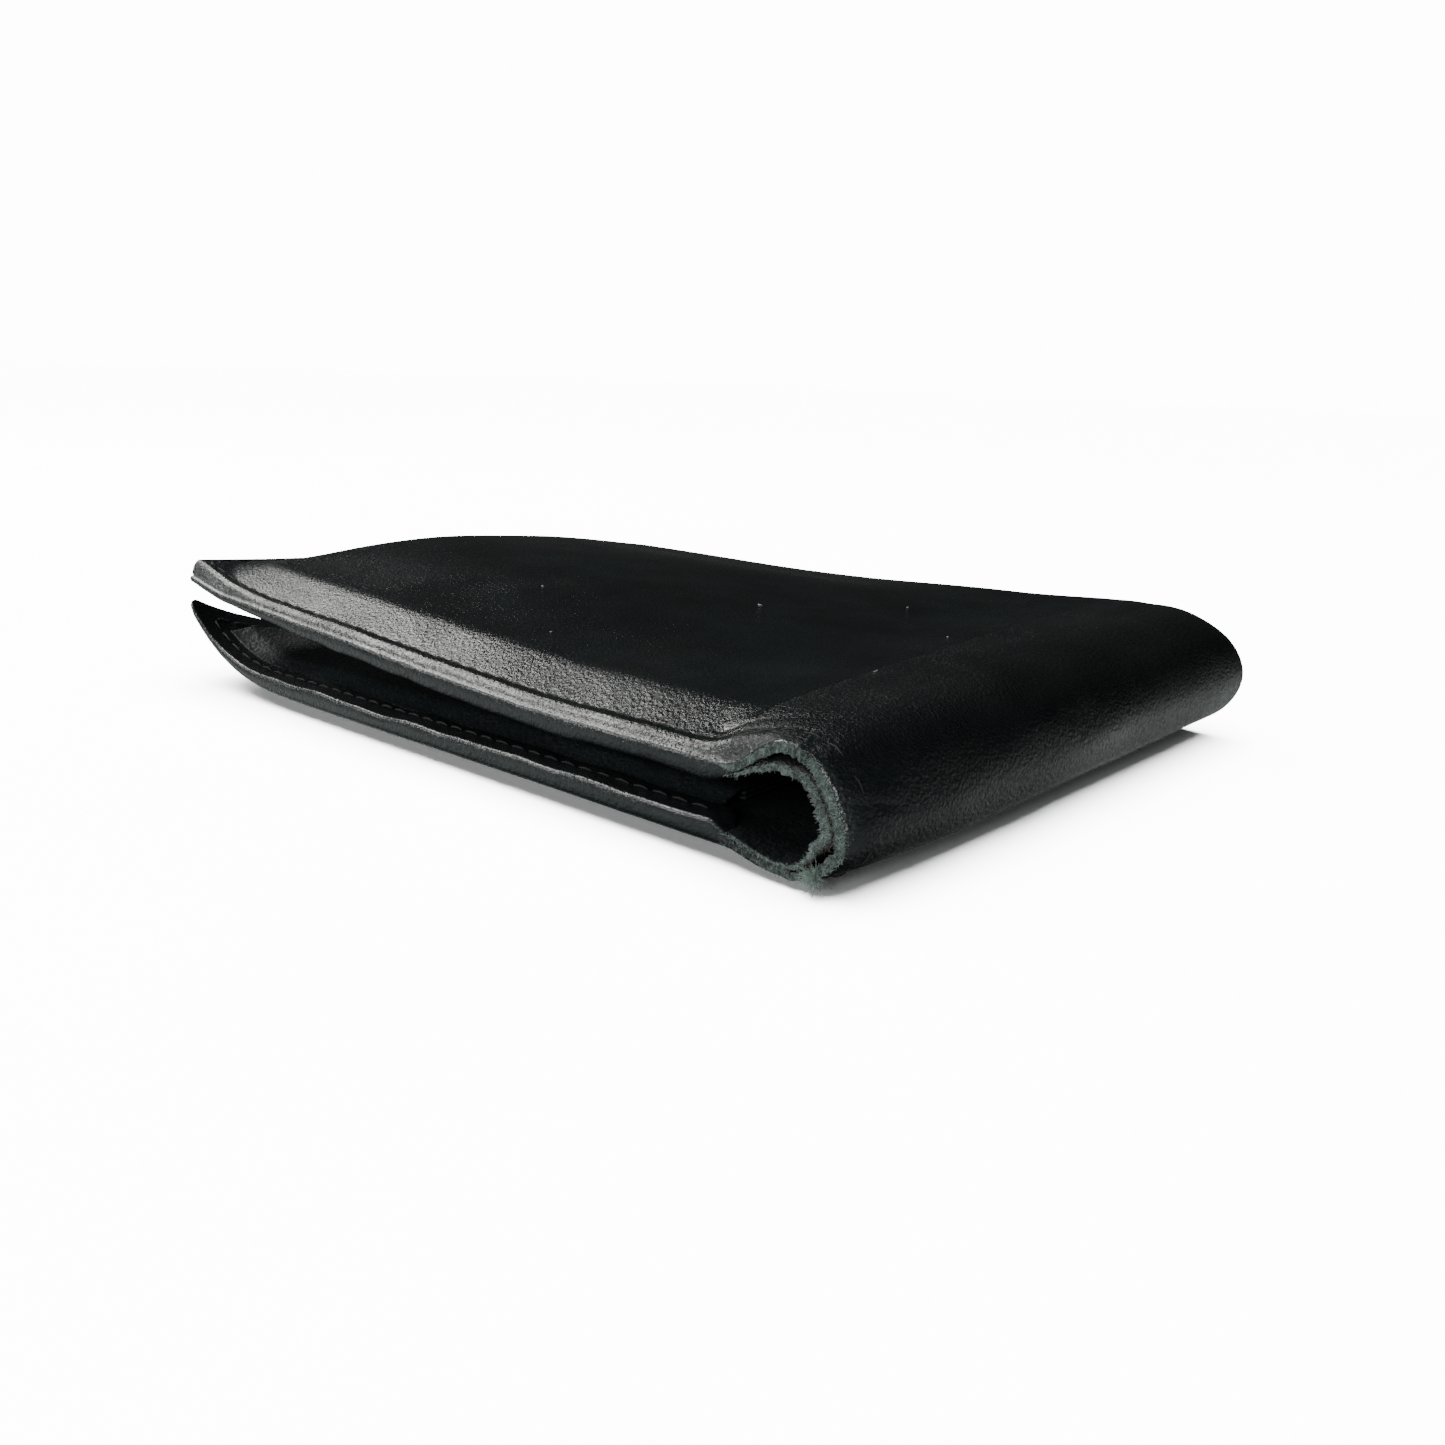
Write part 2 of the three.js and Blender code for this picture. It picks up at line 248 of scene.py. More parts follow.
def border_height(side, s, y):
    """Height of the outer face of a half's thin border, continued under the panel."""
    n = nearness(y)
    gape = GAPE_SLOPE * np.maximum(0, -s - GAPE_START)
    flare = CORNER_FLARE * n**3 * smooth((END + FLARE_REACH - s) / FLARE_REACH)
    upper = 2 * MID_Z - PANEL_RISE[UPPER] + n * (gape - NEAR_SAG) + flare + turned_up(side, s, y)
    curl = clamp01((-s - CURL_START - CURL_FADE * (y - NEAR)) / CURL_LENGTH)
    lower = PANEL_RISE[LOWER] + CORNER_CURL * curl**3.2
    return np.where(side > 0, upper, lower)


def inside_line(s, y, inset, radius):
    """Distance inside the line that runs `inset` from the stitched edge and the open end."""
    a = np.maximum(0, radius - (y - NEAR - inset))
    b = np.maximum(0, radius - (s - END - inset))
    return radius - np.hypot(a, b)


def dome(side, s, y):
    """How far the upper panel stands out from its even height."""
    middle_s, middle_y = DOME_MIDDLE
    along = clamp01(1 - ((s - middle_s) / DOME_ALONG) ** 2)
    to_far = clamp01(1 - ((y - middle_y) / DOME_FAR) ** 2)
    to_near = clamp01(1 - ((y - middle_y) / DOME_NEAR) ** 2) ** 2
    across = np.where(y > middle_y, to_far, to_near)
    far = 1 - nearness(y)
    lift = FAR_LIFT * far * smooth((s + 58) / 50)
    droop = FAR_DROOP * smooth((y - 8) / 38) * smooth((-s - 20) / 50)
    return np.where(side > 0, DOME * along * across + lift - droop, 0.0)


def relief(side, s, y):
    """How far the outer face stands out from the border: band, stitched crease, ramp and panel."""
    d = inside_line(s, y, 0, CORNER_RADIUS)
    band = 1 - (1 - clamp01((d - EDGE_ROUND) / RIDGE)) ** 2
    from_crease = d - CREASE_INSET
    crease = bump_line(from_crease, CREASE_WIDTH) + 0.16 * bump_line(d - 1.35, 0.3)
    ramp = clamp01(inside_line(s, y, CREASE_INSET, PANEL_CORNER) / RAMP)
    left = 1 - ramp
    shoulder = 1 - 0.5 * (left + np.hypot(left, SHOULDER)) + 0.5 * (math.hypot(1, SHOULDER) - 1)
    band_rise = CORNER_BAND * smooth((END + CORNER_REACH - s) / CORNER_REACH) * smooth((30 - y) / 34)
    band_rise = band_rise - turned_up(side, s, y)
    by_fold = FOLD_BAND * smooth((s + 14) / 8)
    low = pick(side, BAND_RISE) + np.where(side > 0, band_rise + by_fold, 0.0)
    high = pick(side, PANEL_RISE) + dome(side, s, y) - np.where(side > 0, turned_up(side, s, y), 0.0)
    return low * band + (high - low) * clamp01(shoulder) - CREASE_DEPTH * crease


def distance_to_line(a, b, start, end):
    """Distance in the plane of a and b to the straight line from start to end."""
    run_a, run_b = end[0] - start[0], end[1] - start[1]
    part = clamp01(((a - start[0]) * run_a + (b - start[1]) * run_b) / (run_a**2 + run_b**2))
    return np.hypot(a - start[0] - part * run_a, b - start[1] - part * run_b)


def swell(side, u, y):
    """Slow undulation of the leather, and folds that run along the spine."""
    along = strip_place(side, u)
    slow = 0.16 * waves(along, y, 18, 60, seed=3)
    near_fold = smooth((u + 16) / 9)
    puckers = waves(along * 1.6, y, 5, 12, seed=5) * smooth((NEAR + 12 - y) / 10)
    pinched = 0.06 * waves(along, y * 0.4, 1.6, 3.2, seed=6) * near_fold * smooth((NEAR + 7 - y) / 5)
    on_spine = smooth((u + 14) / 12)
    folds = 0.07 * waves(along, y * 0.25, 4, 9, seed=8) * on_spine
    wrinkles = 0.0
    for start, end, deep, width in WRINKLES:
        wrinkles = wrinkles - deep * bump_line(distance_to_line(along, y - NEAR, start, end), width)
    kept = np.where(side > 0, 1.0, lerp(0.25, 1.0, smooth((u + 5) / 5)))
    slow = slow * (1 - 0.4 * on_spine) * (1 - 0.7 * smooth((y - FAR + 18) / 16))
    return (slow + 0.055 * puckers + pinched + folds + wrinkles) * kept


def surface(side, u, y, depth, raised=1.0):
    """Points (x from the fold, y, z) of a sheet. raised=0 leaves the panel and the crease out."""
    side, u, y, depth = np.broadcast_arrays(side, u, y, depth)
    reach, rise, centre = spine_at(y)
    deep = depth - swell(side, u, y)
    angle = side * (math.pi / 2) * (1 - clamp01(u))
    lean = -LEAN * nearness(y) ** 2 * rise * np.sin(angle) * np.cos(angle) ** 2
    s = np.minimum(u, 0)
    flat = border_height(side, s, y) + side * (raised * relief(side, s, y) - deep)
    flat_z = lerp(flat, centre + side * (rise - deep), climb(side, s, y))
    x = np.where(u > 0, (reach - deep) * np.cos(angle) + lean, s)
    z = np.where(u > 0, centre + (rise - deep) * np.sin(angle), flat_z)
    return np.stack([x, y, z], axis=-1)


def edge_height(side, u, y):
    """Height of the wrapped edge: it thins towards the stitched corner of the open end."""
    from_corner = np.hypot(np.minimum(u, 0) - END, y - NEAR)
    return lerp(pick(side, CORNER_EDGE), EDGE, smooth(from_corner / pick(side, EDGE_THINS)))


# --- Meshes ---


def stations(first, last, fine, fine_until, coarse, growth=1.16):
    """Stations from first to last: fine steps up to fine_until, then steps that grow to coarse."""
    found = [first]
    step = fine
    while found[-1] + 1.5 * step < last:
        found.append(found[-1] + step)
        if found[-1] > fine_until:
            step = min(coarse, step * growth)
    return np.array(found + [last])


def block(count_i, count_j, first=0):
    return first + np.arange(count_i * count_j).reshape(count_i, count_j)


def loop_of(index):
    """The border of a grid of vertex numbers, as a closed loop."""
    return np.concatenate([index[:, 0], index[-1, 1:], index[-2::-1, -1], index[0, -2:0:-1]])


def quads(index):
    corners = [index[:-1, :-1], index[1:, :-1], index[1:, 1:], index[:-1, 1:]]
    return np.stack(corners, axis=-1).reshape(-1, 4)


OUTER_FACE, EDGE_FACE, INNER_FACE = 0, 1, 2


def closed_sheet(outer, rings, inner):
    """A sheet made of an outer grid of points, rings of points round its edge and an inner grid.

    Gives the points, the faces, which of the three each face is on and the column it starts in."""
    columns, rows, _ = outer.shape
    size, length = columns * rows, len(rings[0])
    outer_index = block(columns, rows)
    inner_index = block(columns, rows, size + len(rings) * length)
    ring_index = [size + number * length + np.arange(length) for number in range(len(rings))]
    loops = [loop_of(outer_index), *ring_index, loop_of(inner_index)]
    after = np.roll(np.arange(length), -1)
    walls = [np.stack([b, b[after], a[after], a], axis=-1) for a, b in zip(loops, loops[1:])]
    faces = np.concatenate([quads(outer_index), *walls, quads(inner_index)[:, ::-1]])
    points = np.concatenate([outer.reshape(-1, 3), *rings, inner.reshape(-1, 3)])
    column = loops[0] // rows
    grid_place = np.repeat(np.arange(columns - 1), rows - 1)
    wall_place = np.tile(np.minimum(column, column[after]), len(walls))
    counts = (len(grid_place), len(wall_place), len(grid_place))
    part = np.repeat((OUTER_FACE, EDGE_FACE, INNER_FACE), counts)
    return points, faces, part, np.concatenate([grid_place, wall_place, grid_place])


def merged(points, faces):
    """Joins vertices in the same place and drops faces that have no area.

    A triangle is a row of four vertex numbers whose last two are the same."""
    _, first, same = np.unique(np.round(points, 4), axis=0, return_index=True, return_inverse=True)
    rows = same.reshape(-1)[faces]
    a, b, c, d = rows.T
    for doubled, others in ((a == b, (a, c, d, d)), (b == c, (a, b, d, d)), (d == a, (a, b, c, c))):
        rows = np.where(doubled[:, None], np.stack(others, axis=1), rows)
    kept = (rows[:, 0] != rows[:, 1]) & (rows[:, 1] != rows[:, 2]) & (rows[:, 0] != rows[:, 2])
    kept &= (rows[:, 3] == rows[:, 2]) | ((rows[:, 3] != rows[:, 0]) & (rows[:, 3] != rows[:, 1]))
    return first, rows[kept], np.flatnonzero(kept)


def face_normals(points, faces):
    """Normals of the faces, as long as twice their areas."""
    a, b, c, d = (points[faces[:, k]] for k in range(4))
    return np.cross(c - a, d - b)


def vertex_normals(points, faces):
    total = np.zeros_like(points)
    normals = face_normals(points, faces)
    for k in range(4):
        np.add.at(total, faces[:, k], normals)
    return total / np.maximum(np.linalg.norm(total, axis=1), 1e-12)[:, None]


def flipped(faces):
    """The same faces turned over. A triangle keeps its repeated vertex last."""
    return faces[:, [1, 0, 3, 2]]


def facing_out(points, faces):
    """The faces of a closed mesh, turned over if they face inwards."""
    middles = points[faces].mean(axis=1)
    volume = (middles * face_normals(points, faces)).sum() / 6
    return faces if volume > 0 else flipped(faces)


def add_object(name, data):
    made = bpy.data.objects.new(name, data)
    bpy.context.scene.collection.objects.link(made)
    return made


def add_piece(name, points, faces, materials, face_material=None, normals=None, marks=None):
    """A smooth mesh object. points are from the fold in millimetres; marks are vertex attributes."""
    corners = np.where(faces[:, 3] == faces[:, 2], 3, 4)
    kept = np.arange(4)[None, :] < corners[:, None]
    mesh = bpy.data.meshes.new(name)
    placed = (points + np.array([FOLD_X, 0, 0])) * MM
    mesh.vertices.add(len(placed))
    mesh.vertices.foreach_set("co", placed.astype(np.float32).ravel())
    mesh.loops.add(int(corners.sum()))
    mesh.loops.foreach_set("vertex_index", faces[kept].astype(np.int32))
    mesh.polygons.add(len(faces))
    starts = np.concatenate([[0], np.cumsum(corners)[:-1]])
    mesh.polygons.foreach_set("loop_start", starts.astype(np.int32))
    mesh.update(calc_edges=True)
    rest = mesh.attributes.new("rest", "FLOAT_VECTOR", "POINT")
    rest.data.foreach_set("vector", points.astype(np.float32).ravel())
    for mark, values in (marks or {}).items():
        layer = mesh.attributes.new(mark, "FLOAT", "POINT")
        layer.data.foreach_set("value", values.astype(np.float32))
    for material in materials:
        mesh.materials.append(material)
    if face_material is not None:
        mesh.polygons.foreach_set("material_index", face_material.astype(np.int32))
    mesh.polygons.foreach_set("use_smooth", np.ones(len(faces), bool))
    mesh.validate()
    mesh.update()
    if normals is not None:
        mesh.normals_split_custom_set_from_vertices(normals.tolist())
    return add_object(name, mesh)


# --- Materials ---


class Nodes:
    """The node tree of a material or a world, with short ways to add and join nodes."""

    def __init__(self, owner, shader="Principled BSDF"):
        self.owner = owner
        owner.use_nodes = True
        self.tree = owner.node_tree
        self.shader = self.tree.nodes[shader]

    def add(self, kind, inputs=None, **settings):
        node = self.tree.nodes.new(kind)
        for key, value in settings.items():
            setattr(node, key, value)
        for key, value in (inputs or {}).items():
            self.set(node.inputs[key], value)
        return node

    def set(self, socket, value):
        if isinstance(value, bpy.types.NodeSocket):
            self.tree.links.new(value, socket)
        else:
            socket.default_value = value

    def math(self, operation, a, b=0.0, clamp=False):
        return self.add("ShaderNodeMath", {0: a, 1: b}, operation=operation, use_clamp=clamp).outputs[0]

    def times(self, a, b, clamp=False):
        return self.math("MULTIPLY", a, b, clamp)

    def between(self, value, low, high, to_low=0.0, to_high=1.0):
        inputs = {"Value": value, "From Min": low, "From Max": high, "To Min": to_low, "To Max": to_high}
        return self.add("ShaderNodeMapRange", inputs).outputs["Result"]

    def mix(self, factor, a, b):
        """A colour part way from a to b."""
        inputs = {"Factor": factor, "A": a, "B": b}
        return self.add("ShaderNodeMix", inputs, data_type="RGBA").outputs["Result"]

    def rest(self):
        return self.add("ShaderNodeAttribute", attribute_name="rest").outputs["Vector"]

    def mark(self, name):
        return self.add("ShaderNodeAttribute", attribute_name=name).outputs["Fac"]

    def vector_math(self, operation, inputs):
        return self.add("ShaderNodeVectorMath", inputs, operation=operation).outputs[0]

    def noise(self, vector, size, detail=3.0, roughness=0.55, distortion=0.0):
        """Noise with features about `size` millimetres across."""
        inputs = {"Vector": vector, "Scale": 1 / size, "Detail": detail, "Roughness": roughness}
        return self.add("ShaderNodeTexNoise", {**inputs, "Distortion": distortion}).outputs["Fac"]

    def cells(self, vector, size, feature="F1"):
        inputs = {"Vector": vector, "Scale": 1 / size}
        return self.add("ShaderNodeTexVoronoi", inputs, feature=feature).outputs["Distance"]

    def warped(self, vector, size, amount):
        """The vector pushed about by noise, so that cells don't look regular."""
        noise = self.add("ShaderNodeTexNoise", {"Vector": vector, "Scale": 1 / size, "Detail": 2.0})
        centred = self.vector_math("SUBTRACT", {0: noise.outputs["Color"], 1: (0.5, 0.5, 0.5)})
        scaled = self.vector_math("SCALE", {0: centred, "Scale": amount})
        return self.vector_math("ADD", {0: vector, 1: scaled})

    def bump(self, height, depth, strength=1.0, normal=None):
        """A bump whose height 0 to 1 stands for `depth` millimetres."""
        node = self.add("ShaderNodeBump", {"Height": height, "Distance": depth * MM, "Strength": strength})
        if normal is not None:
            self.set(node.inputs["Normal"], normal)
        return node.outputs["Normal"]

    def finish(self, **inputs):
        for key, value in inputs.items():
            self.set(self.shader.inputs[key.replace("_", " ")], value)
        return self.owner


def colour(red, green, blue):
    return (red, green, blue, 1.0)


BLACK = colour(0.0050, 0.0066, 0.0070)
BLACK_LIGHT = colour(0.0105, 0.0135, 0.0138)
SCUFF = colour(0.050, 0.062, 0.060)
SUEDE_DARK = colour(0.030, 0.043, 0.040)
SUEDE = colour(0.135, 0.175, 0.160)
SUEDE_LIGHT = colour(0.30, 0.38, 0.35)
SCUFFED = 0.5


def leather(name, grain_size, grain_depth, roughness, shine, fluff):
    """Grained black leather that turns to bare fibre where its edge is cut.

    shine is the specular level of the finished face and fluff says how pale the bare fibre is. The
    marks say where the leather is rubbed (wear), how grained it is (grain) and where it is cut (cut)."""
    nodes = Nodes(bpy.data.materials.new(name))
    rest = nodes.rest()
    wear = nodes.mark("wear")
    grain = nodes.mark("grain")
    torn = nodes.noise(rest, 0.7, detail=5.0, roughness=0.65)
    cut = nodes.between(nodes.math("ADD", nodes.mark("cut"), torn), 0.92, 1.06)

    warped = nodes.warped(rest, grain_size * 1.6, grain_size * 0.9)
    pebbles = nodes.between(nodes.cells(warped, grain_size, "SMOOTH_F1"), 0.0, 0.75)
    pores = nodes.between(nodes.cells(warped, grain_size * 0.45), 0.0, 0.6)
    fine = nodes.noise(rest, grain_size * 0.28, detail=4.0)
    creased = nodes.noise(rest, 2.6, detail=5.0, roughness=0.62, distortion=0.6)
    height = nodes.math("ADD", nodes.times(pebbles, -0.62), nodes.times(pores, -0.22))
    height = nodes.math("ADD", height, nodes.times(fine, 0.3))
    patches = nodes.between(nodes.noise(rest, 9.0, detail=4.0), 0.3, 0.7, 0.55, 1.25)
    strength = nodes.times(grain, patches)
    strength = nodes.times(strength, nodes.math("SUBTRACT", 1.0, cut))
    clumps = nodes.noise(rest, 0.5, detail=7.0, roughness=0.75)
    normal = nodes.bump(creased, 0.12, 0.6)
    normal = nodes.bump(nodes.times(height, strength), grain_depth, 1.0, normal)
    normal = nodes.bump(nodes.times(clumps, cut), 0.30, 1.0, normal)

    mottle = nodes.between(nodes.noise(rest, 14.0, detail=6.0, roughness=0.65), 0.35, 0.7)
    base = nodes.mix(mottle, BLACK, BLACK_LIGHT)
    rubbed = nodes.between(nodes.noise(rest, 1.1, detail=6.0, roughness=0.7), 0.42, 0.72)
    amount = nodes.times(nodes.times(wear, rubbed), SCUFFED, clamp=True)
    base = nodes.mix(amount, base, SCUFF)
    smudge = nodes.between(nodes.noise(rest, 22.0, detail=5.0, roughness=0.6), 0.3, 0.75, -0.05, 0.07)
    rough = nodes.math("ADD", nodes.math("ADD", smudge, roughness), nodes.times(amount, 0.12))
    valley = nodes.between(pebbles, 0.35, 0.95, 0.0, 0.14)
    rough = nodes.math("ADD", rough, nodes.times(valley, grain))
    rough = nodes.math("SUBTRACT", rough, nodes.between(grain, 0.3, 1.0, 0.09, 0.0))
    rough = nodes.math("MAXIMUM", rough, nodes.times(cut, 0.9))

    pits = nodes.noise(rest, 1.5, detail=5.0, roughness=0.65)
    fibres = nodes.mix(nodes.between(clumps, 0.40, 0.62), SUEDE_DARK, SUEDE)
    fibres = nodes.mix(nodes.between(clumps, 0.55, 0.78), fibres, SUEDE_LIGHT)
    fibres = nodes.mix(nodes.between(pits, 0.40, 0.56, 0.85, 0.0), fibres, BLACK_LIGHT)
    fibres = nodes.mix(fluff, SUEDE_DARK, fibres)
    base = nodes.mix(cut, base, fibres)
    specular = nodes.between(cut, 0.0, 1.0, shine, 0.1)
    sheen = nodes.times(cut, 0.2)
    shader = {"Specular_IOR_Level": specular, "Sheen_Weight": sheen, "Sheen_Roughness": 0.5}
    return nodes.finish(Base_Color=base, Roughness=rough, Normal=normal, IOR=1.48, **shader)


def fibre(name, dark, light, sheen=0.2):
    """Dull, uneven fibre without a finish."""
    nodes = Nodes(bpy.data.materials.new(name))
    tone = nodes.between(nodes.noise(nodes.rest(), 0.8, detail=3.0), 0.35, 0.7)
    tone = nodes.mix(tone, dark, light)
    return nodes.finish(Base_Color=tone, Roughness=0.8, Specular_IOR_Level=0.15, Sheen_Weight=sheen)


def woven_lining(name):
    """Fine plain-weave cloth."""
    nodes = Nodes(bpy.data.materials.new(name))
    rest = nodes.rest()
    threads = []
    for direction in ("X", "Y"):
        inputs = {"Vector": rest, "Scale": 1.1, "Distortion": 0.4, "Detail": 1.0}
        wave = nodes.add("ShaderNodeTexWave", inputs, bands_direction=direction)
        threads.append(wave.outputs["Fac"])
    weave = nodes.math("MAXIMUM", *threads)
    tone = nodes.mix(weave, colour(0.008, 0.009, 0.011), colour(0.028, 0.031, 0.036))
    return nodes.finish(Base_Color=tone, Roughness=0.6, Normal=nodes.bump(weave, 0.06), Sheen_Weight=0.1)


def waxed_thread(name):
    nodes = Nodes(bpy.data.materials.new(name))
    twist = nodes.add("ShaderNodeTexWave", {"Vector": nodes.rest(), "Scale": 2.2, "Distortion": 1.5})
    ply = twist.outputs["Fac"]
    tone = nodes.mix(ply, colour(0.004, 0.005, 0.005), colour(0.016, 0.019, 0.019))
    return nodes.finish(Base_Color=tone, Roughness=0.75, Normal=nodes.bump(ply, 0.05))


COVER_LEATHER = leather("cover_leather", 0.40, 0.20, roughness=0.32, shine=0.5, fluff=0.8)
INNER_LEATHER = leather("inner_leather", 0.50, 0.26, roughness=0.46, shine=0.25, fluff=1.0)
FLESH_SIDE = fibre("leather_back", colour(0.004, 0.005, 0.005), colour(0.010, 0.012, 0.012), sheen=0.0)
FIBRES = fibre("loose_fibres", SUEDE, SUEDE_LIGHT)
BROWN_FIBRES = fibre("brown_fibres", colour(0.020, 0.012, 0.009), colour(0.060, 0.038, 0.028))
LINT = fibre("lint", colour(0.30, 0.32, 0.30), colour(0.55, 0.56, 0.52))
LINING_CLOTH = woven_lining("lining_cloth")
THREAD = waxed_thread("waxed_thread")


# --- The cover: one strip of leather round both halves ---


QUARTER_TURN = 56  # columns


def strip_columns():
    """side and u of each column, from the lower half's open end round the spine to the upper one's."""
    flat = stations(END + EDGE_ROUND, -INTO_SPINE - 4, 0.15, END + 3.4, 1.5)
    rising = np.arange(-INTO_SPINE - 3.6, 0.01, 0.3)
    turn = np.linspace(0, 1, QUARTER_TURN + 1)[1:]
    u = np.concatenate([flat, rising, turn])
    side = np.full(len(u), LOWER)
    return np.concatenate([side, -side[-2::-1]]), np.concatenate([u, u[-2::-1]])


def strip_rows(near_inset, far_inset):
    inner = stations(NEAR + near_inset, FAR - 4, 0.15, NEAR + 3.6, 1.5)
    return np.concatenate([inner[:-1], np.linspace(FAR - 4, FAR - far_inset, 7)])


COLUMN_SIDE, COLUMN_U = strip_columns()


def strip_grid(rows, inset):
    """side, u and y of every vertex, with the corners of the open ends rounded."""
    from_side = np.minimum(rows - NEAR, FAR - rows)
    radius = max(CORNER_RADIUS - inset, 0.05)
    short = np.clip(CORNER_RADIUS - from_side, 0, radius)
    step = radius - np.sqrt(radius**2 - short**2)
    near_end = 1 - smooth((COLUMN_U - END - 4) / 10)
    u = COLUMN_U[:, None] + near_end[:, None] * step[None, :]
    u = u + (inset - EDGE_ROUND) * (1 - smooth((COLUMN_U - END) / 6))[:, None]
    shape = u.shape
    return np.broadcast_to(COLUMN_SIDE[:, None], shape), u, np.broadcast_to(rows, shape)


def outward(u, y):
    """Outward direction (along u, along y) at the vertices of a strip's loop."""
    centre_u = END + CORNER_RADIUS
    across_u = np.minimum(u - centre_u, 0)
    along_y = np.where(y < 0, np.minimum(y - NEAR - CORNER_RADIUS, 0), np.maximum(y - FAR + CORNER_RADIUS, 0))
    length = np.maximum(np.hypot(across_u, along_y), 1e-6)
    return across_u / length, along_y / length


def inset_place(u, y, direction, inset):
    """u and y of the loop's vertices moved to `inset` from the outline. Wide insets are mitred."""
    near_u = u + direction[0] * (EDGE_ROUND - inset)
    near_y = y + direction[1] * (EDGE_ROUND - inset)
    far_u = np.maximum(u, END + inset)
    far_y = np.clip(y, NEAR + inset, FAR - inset)
    narrow = inset <= CORNER_RADIUS
    return np.where(narrow, near_u, far_u), np.where(narrow, near_y, far_y)


def cover_thickness(side, u, y):
    """The cover thins where it is wrapped, and is full leather in the fold."""
    d = np.minimum(inside_line(np.minimum(u, 0), y, 0, CORNER_RADIUS), FAR - y)
    wrapped = 0.47 * edge_height(side, u, y)
    flat = lerp(wrapped, COVER, smooth((d - 1.5) / 3))
    in_fold = at_rim(side, u, y, COVER_AT_RIM, SPINE_COVER)
    return lerp(flat, in_fold, into_spine(np.minimum(u, 0)))


